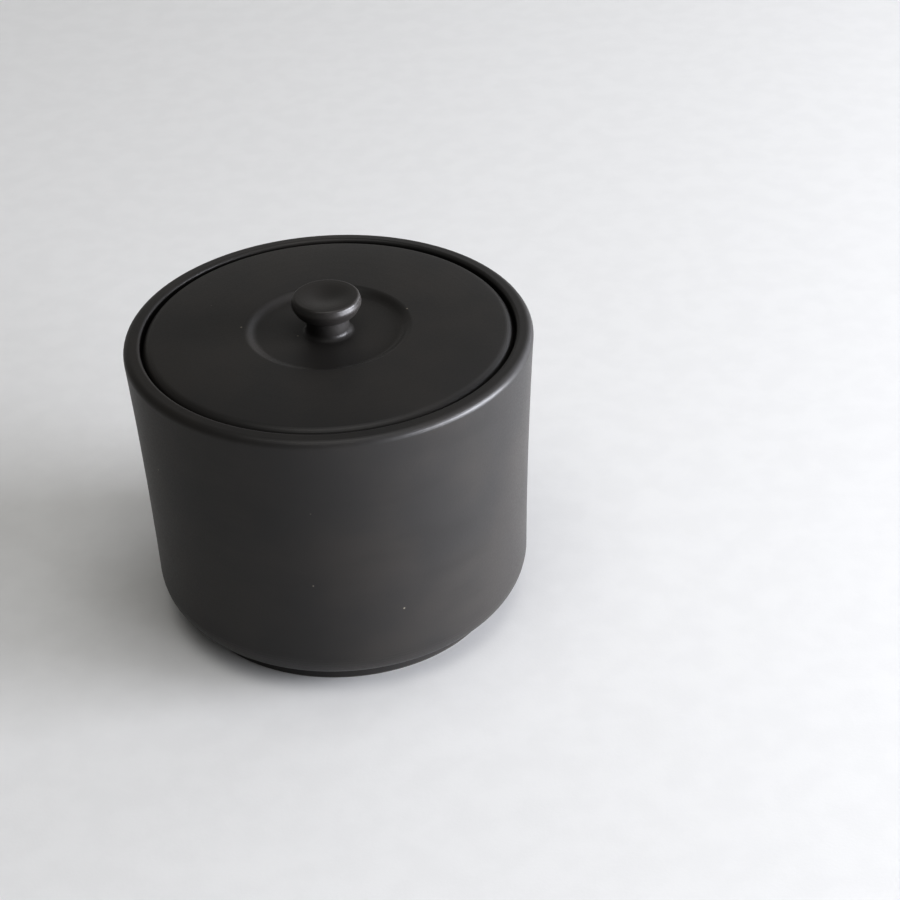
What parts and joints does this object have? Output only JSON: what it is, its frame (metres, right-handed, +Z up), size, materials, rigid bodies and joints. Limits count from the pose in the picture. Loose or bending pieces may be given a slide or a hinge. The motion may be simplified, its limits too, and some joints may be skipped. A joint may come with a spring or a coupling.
{
  "type": "sugar bowl with lid",
  "caption": "Round lidded sugar bowl in matt black stoneware, with an inset lid that lifts off by a small knob.",
  "frame": {"origin": "centre of the circle that the foot ring stands on", "axes": "+Z up along the axis of the bowl, lid and knob; +Y away from the viewer; the piece is round, so X and Y carry no feature"},
  "size_m": [0.1, 0.1, 0.086],
  "materials": {
    "bowl_stoneware": "matt black vitrified stoneware, satin glaze inside",
    "lid_stoneware": "matt black vitrified stoneware, satin glaze underneath",
    "knob_stoneware": "matt black vitrified stoneware, worn a little smoother by handling"
  },
  "bodies": {
    "bowl": {"bowl": "bowl_stoneware"},
    "lid": {"lid": "lid_stoneware", "knob": "knob_stoneware"}
  },
  "joints": [
    {"name": "lid_lift", "type": "slide", "parent": "bowl", "child": "lid", "axis": [0, 0, 1], "range_m": [0, 0.08]}
  ]
}
